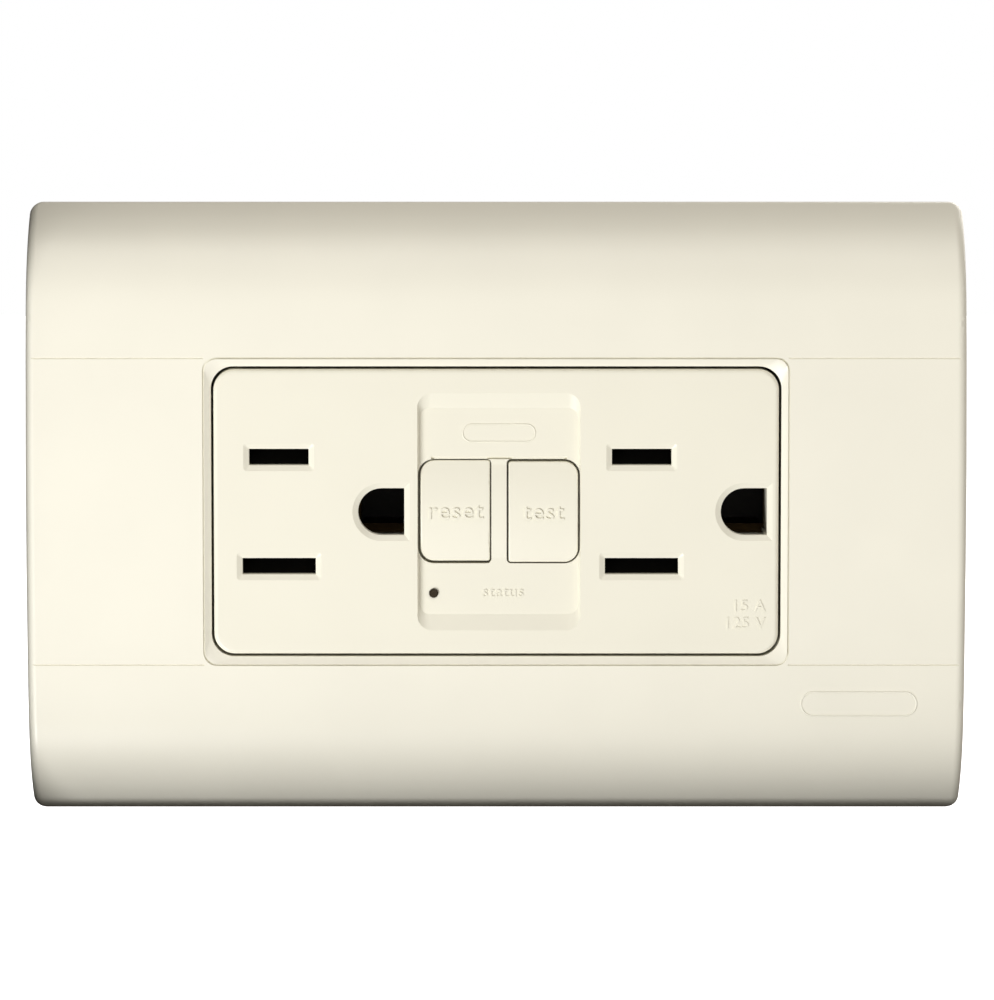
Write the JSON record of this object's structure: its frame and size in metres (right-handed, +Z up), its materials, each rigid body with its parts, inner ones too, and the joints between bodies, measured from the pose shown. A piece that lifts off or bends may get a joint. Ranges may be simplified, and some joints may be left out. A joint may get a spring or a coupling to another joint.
{
  "type": "gfci outlet",
  "caption": "Ground-fault duplex outlet lying on its side in a screwless wall plate, with reset and test buttons between the sockets.",
  "frame": {"origin": "middle of the two box screws, on the wall's surface", "axes": "+X along the plate, +Z up, +Y into the wall, so the face looks along -Y"},
  "size_m": [0.109, 0.0356, 0.071],
  "materials": {
    "ivory_plate": "satin ivory",
    "ivory_face": "satin ivory",
    "dark_shutter": "matte black",
    "frame_grey": "matte",
    "zinc_steel": "zinc plated",
    "spring_steel": "bright wire",
    "brass": "bare",
    "nickel": "nickel plated",
    "silver_contact": "polished",
    "green_steel": "dyed green",
    "clear_plastic": "smoked",
    "housing_plastic": "moulded",
    "inner_plastic": "moulded",
    "bobbin_plastic": "moulded",
    "copper_wire": "enamelled",
    "board_green": "solder mask",
    "orange_ceramic": "coated",
    "black_package": "moulded",
    "component_mix": "coated"
  },
  "bodies": {
    "receptacle": {"box_screws": "zinc_steel", "capacitors": "component_mix", "circuit_board": "board_green", "contact_deck": "inner_plastic", "face_cover": "ivory_face", "fixed_contact_rivets": "silver_contact", "frame_screws": "zinc_steel", "ground_contact_rivets": "brass", "ground_contacts": "brass", "hot_contact_bar": "brass", "hot_line_terminal": "brass", "hot_load_terminal": "brass", "housing_screws": "zinc_steel", "lifter_springs": "spring_steel", "light_pipe": "clear_plastic", "line_bars": "brass", "mounting_frame": "frame_grey", "mounting_strap": "zinc_steel", "neutral_contact_bar": "nickel", "neutral_line_terminal": "nickel", "neutral_load_terminal": "nickel", "plunger_spring": "spring_steel", "rear_housing": "housing_plastic", "reset_spring": "spring_steel", "semiconductors": "black_package", "sensing_toroids": "copper_wire", "shutter_spring_left": "spring_steel", "shutter_spring_right": "spring_steel", "small_components": "component_mix", "solenoid_bobbin": "bobbin_plastic", "solenoid_coil": "copper_wire", "solenoid_frame": "zinc_steel", "status_led": "clear_plastic", "test_leaf": "brass", "test_posts": "brass", "test_spring": "spring_steel", "transformer_housing": "inner_plastic", "varistor": "orange_ceramic"},
    "wall_plate": {"wall_plate": "ivory_plate"},
    "reset_key": {"reset_button": "ivory_face", "reset_pin": "zinc_steel"},
    "test_key": {"test_button": "ivory_face"},
    "shutter_left": {"shutter_left": "dark_shutter"},
    "shutter_right": {"shutter_right": "dark_shutter"},
    "plunger": {"plunger": "zinc_steel"},
    "lifter": {"contact_lifter": "bobbin_plastic", "latch_spring": "spring_steel"},
    "latch": {"latch_plate": "zinc_steel"},
    "hot_arm": {"hot_contact_arm": "brass"},
    "neutral_arm": {"neutral_contact_arm": "brass"},
    "ground_clamp": {"ground_clamp": "zinc_steel"},
    "ground_screw": {"ground_screw": "green_steel"},
    "hot_line_clamp": {"hot_line_clamp": "zinc_steel"},
    "hot_line_screw": {"hot_line_screw": "brass"},
    "hot_load_clamp": {"hot_load_clamp": "zinc_steel"},
    "hot_load_screw": {"hot_load_screw": "brass"},
    "neutral_line_clamp": {"neutral_line_clamp": "zinc_steel"},
    "neutral_line_screw": {"neutral_line_screw": "nickel"},
    "neutral_load_clamp": {"neutral_load_clamp": "zinc_steel"},
    "neutral_load_screw": {"neutral_load_screw": "nickel"}
  },
  "joints": [
    {"name": "cover_pull", "type": "slide", "parent": "receptacle", "child": "wall_plate", "axis": [0, -1, 0], "range_m": [0, 0.02]},
    {"name": "reset_press", "type": "slide", "parent": "receptacle", "child": "reset_key", "axis": [0, 1, 0], "range_m": [0, 0.0022], "stiffness_N_per_m": 1500, "springref_m": -0.003, "deforming": ["reset_spring"]},
    {"name": "test_press", "type": "slide", "parent": "receptacle", "child": "test_key", "axis": [0, 1, 0], "range_m": [0, 0.0015], "stiffness_N_per_m": 1200, "springref_m": -0.002, "deforming": ["test_spring", "test_leaf"]},
    {"name": "plunger_strike", "type": "slide", "parent": "receptacle", "child": "plunger", "axis": [1, 0, 0], "range_m": [0, 0.0018], "stiffness_N_per_m": 80, "springref_m": -0.003, "deforming": ["plunger_spring"]},
    {"name": "lifter_drop", "type": "slide", "parent": "receptacle", "child": "lifter", "axis": [0, 1, 0], "range_m": [0, 0.0014], "stiffness_N_per_m": 300, "springref_m": -0.002, "deforming": ["lifter_springs"]},
    {"name": "latch_slide", "type": "slide", "parent": "lifter", "child": "latch", "axis": [1, 0, 0], "range_m": [0, 0.0018], "deforming": ["latch_spring"]},
    {"name": "hot_arm_swing", "type": "hinge", "parent": "receptacle", "child": "hot_arm", "pos_m": [0.0084, 0.0111, 0.0118], "axis": [0, 0, -1], "range_deg": [0, 5.5]},
    {"name": "neutral_arm_swing", "type": "hinge", "parent": "receptacle", "child": "neutral_arm", "pos_m": [0.0084, 0.0111, -0.0118], "axis": [0, 0, -1], "range_deg": [0, 5.5]},
    {"name": "shutter_left_slide", "type": "slide", "parent": "receptacle", "child": "shutter_left", "axis": [0, 0, -1], "range_m": [0, 0.0023], "stiffness_N_per_m": 60, "springref_m": -0.004, "deforming": ["shutter_spring_left"]},
    {"name": "shutter_right_slide", "type": "slide", "parent": "receptacle", "child": "shutter_right", "axis": [0, 0, -1], "range_m": [0, 0.0023], "stiffness_N_per_m": 60, "springref_m": -0.004, "deforming": ["shutter_spring_right"]},
    {"name": "hot_line_clamp_slide", "type": "slide", "parent": "receptacle", "child": "hot_line_clamp", "axis": [0, 0, 1], "range_m": [0, 0.00159]},
    {"name": "hot_line_screw_turn", "type": "hinge", "parent": "hot_line_clamp", "child": "hot_line_screw", "pos_m": [-0.022, 0.0135, 0.0184], "axis": [0, 0, 1], "range_deg": [0, 720]},
    {"name": "hot_load_clamp_slide", "type": "slide", "parent": "receptacle", "child": "hot_load_clamp", "axis": [0, 0, 1], "range_m": [0, 0.00159]},
    {"name": "hot_load_screw_turn", "type": "hinge", "parent": "hot_load_clamp", "child": "hot_load_screw", "pos_m": [0.022, 0.0135, 0.0184], "axis": [0, 0, 1], "range_deg": [0, 720]},
    {"name": "neutral_line_clamp_slide", "type": "slide", "parent": "receptacle", "child": "neutral_line_clamp", "axis": [0, 0, -1], "range_m": [0, 0.00159]},
    {"name": "neutral_line_screw_turn", "type": "hinge", "parent": "neutral_line_clamp", "child": "neutral_line_screw", "pos_m": [-0.022, 0.0135, -0.0184], "axis": [0, 0, -1], "range_deg": [0, 720]},
    {"name": "neutral_load_clamp_slide", "type": "slide", "parent": "receptacle", "child": "neutral_load_clamp", "axis": [0, 0, -1], "range_m": [0, 0.00159]},
    {"name": "neutral_load_screw_turn", "type": "hinge", "parent": "neutral_load_clamp", "child": "neutral_load_screw", "pos_m": [0.022, 0.0135, -0.0184], "axis": [0, 0, -1], "range_deg": [0, 720]},
    {"name": "ground_clamp_slide", "type": "slide", "parent": "receptacle", "child": "ground_clamp", "axis": [0, 0, -1], "range_m": [0, 0.00159]},
    {"name": "ground_screw_turn", "type": "hinge", "parent": "ground_clamp", "child": "ground_screw", "pos_m": [0.0425, 0.005, -0.0177], "axis": [0, 0, -1], "range_deg": [0, 720]}
  ],
  "couplings": [
    {"joint": "latch_slide", "follows": "plunger_strike", "ratio": 1},
    {"joint": "hot_arm_swing", "follows": "lifter_drop", "rad_per_m": 67.857},
    {"joint": "neutral_arm_swing", "follows": "lifter_drop", "rad_per_m": 67.857},
    {"joint": "hot_line_screw_turn", "follows": "hot_line_clamp_slide", "rad_per_m": 7913.3},
    {"joint": "hot_load_screw_turn", "follows": "hot_load_clamp_slide", "rad_per_m": 7913.3},
    {"joint": "neutral_line_screw_turn", "follows": "neutral_line_clamp_slide", "rad_per_m": 7913.3},
    {"joint": "neutral_load_screw_turn", "follows": "neutral_load_clamp_slide", "rad_per_m": 7913.3},
    {"joint": "ground_screw_turn", "follows": "ground_clamp_slide", "rad_per_m": 7913.3}
  ]
}
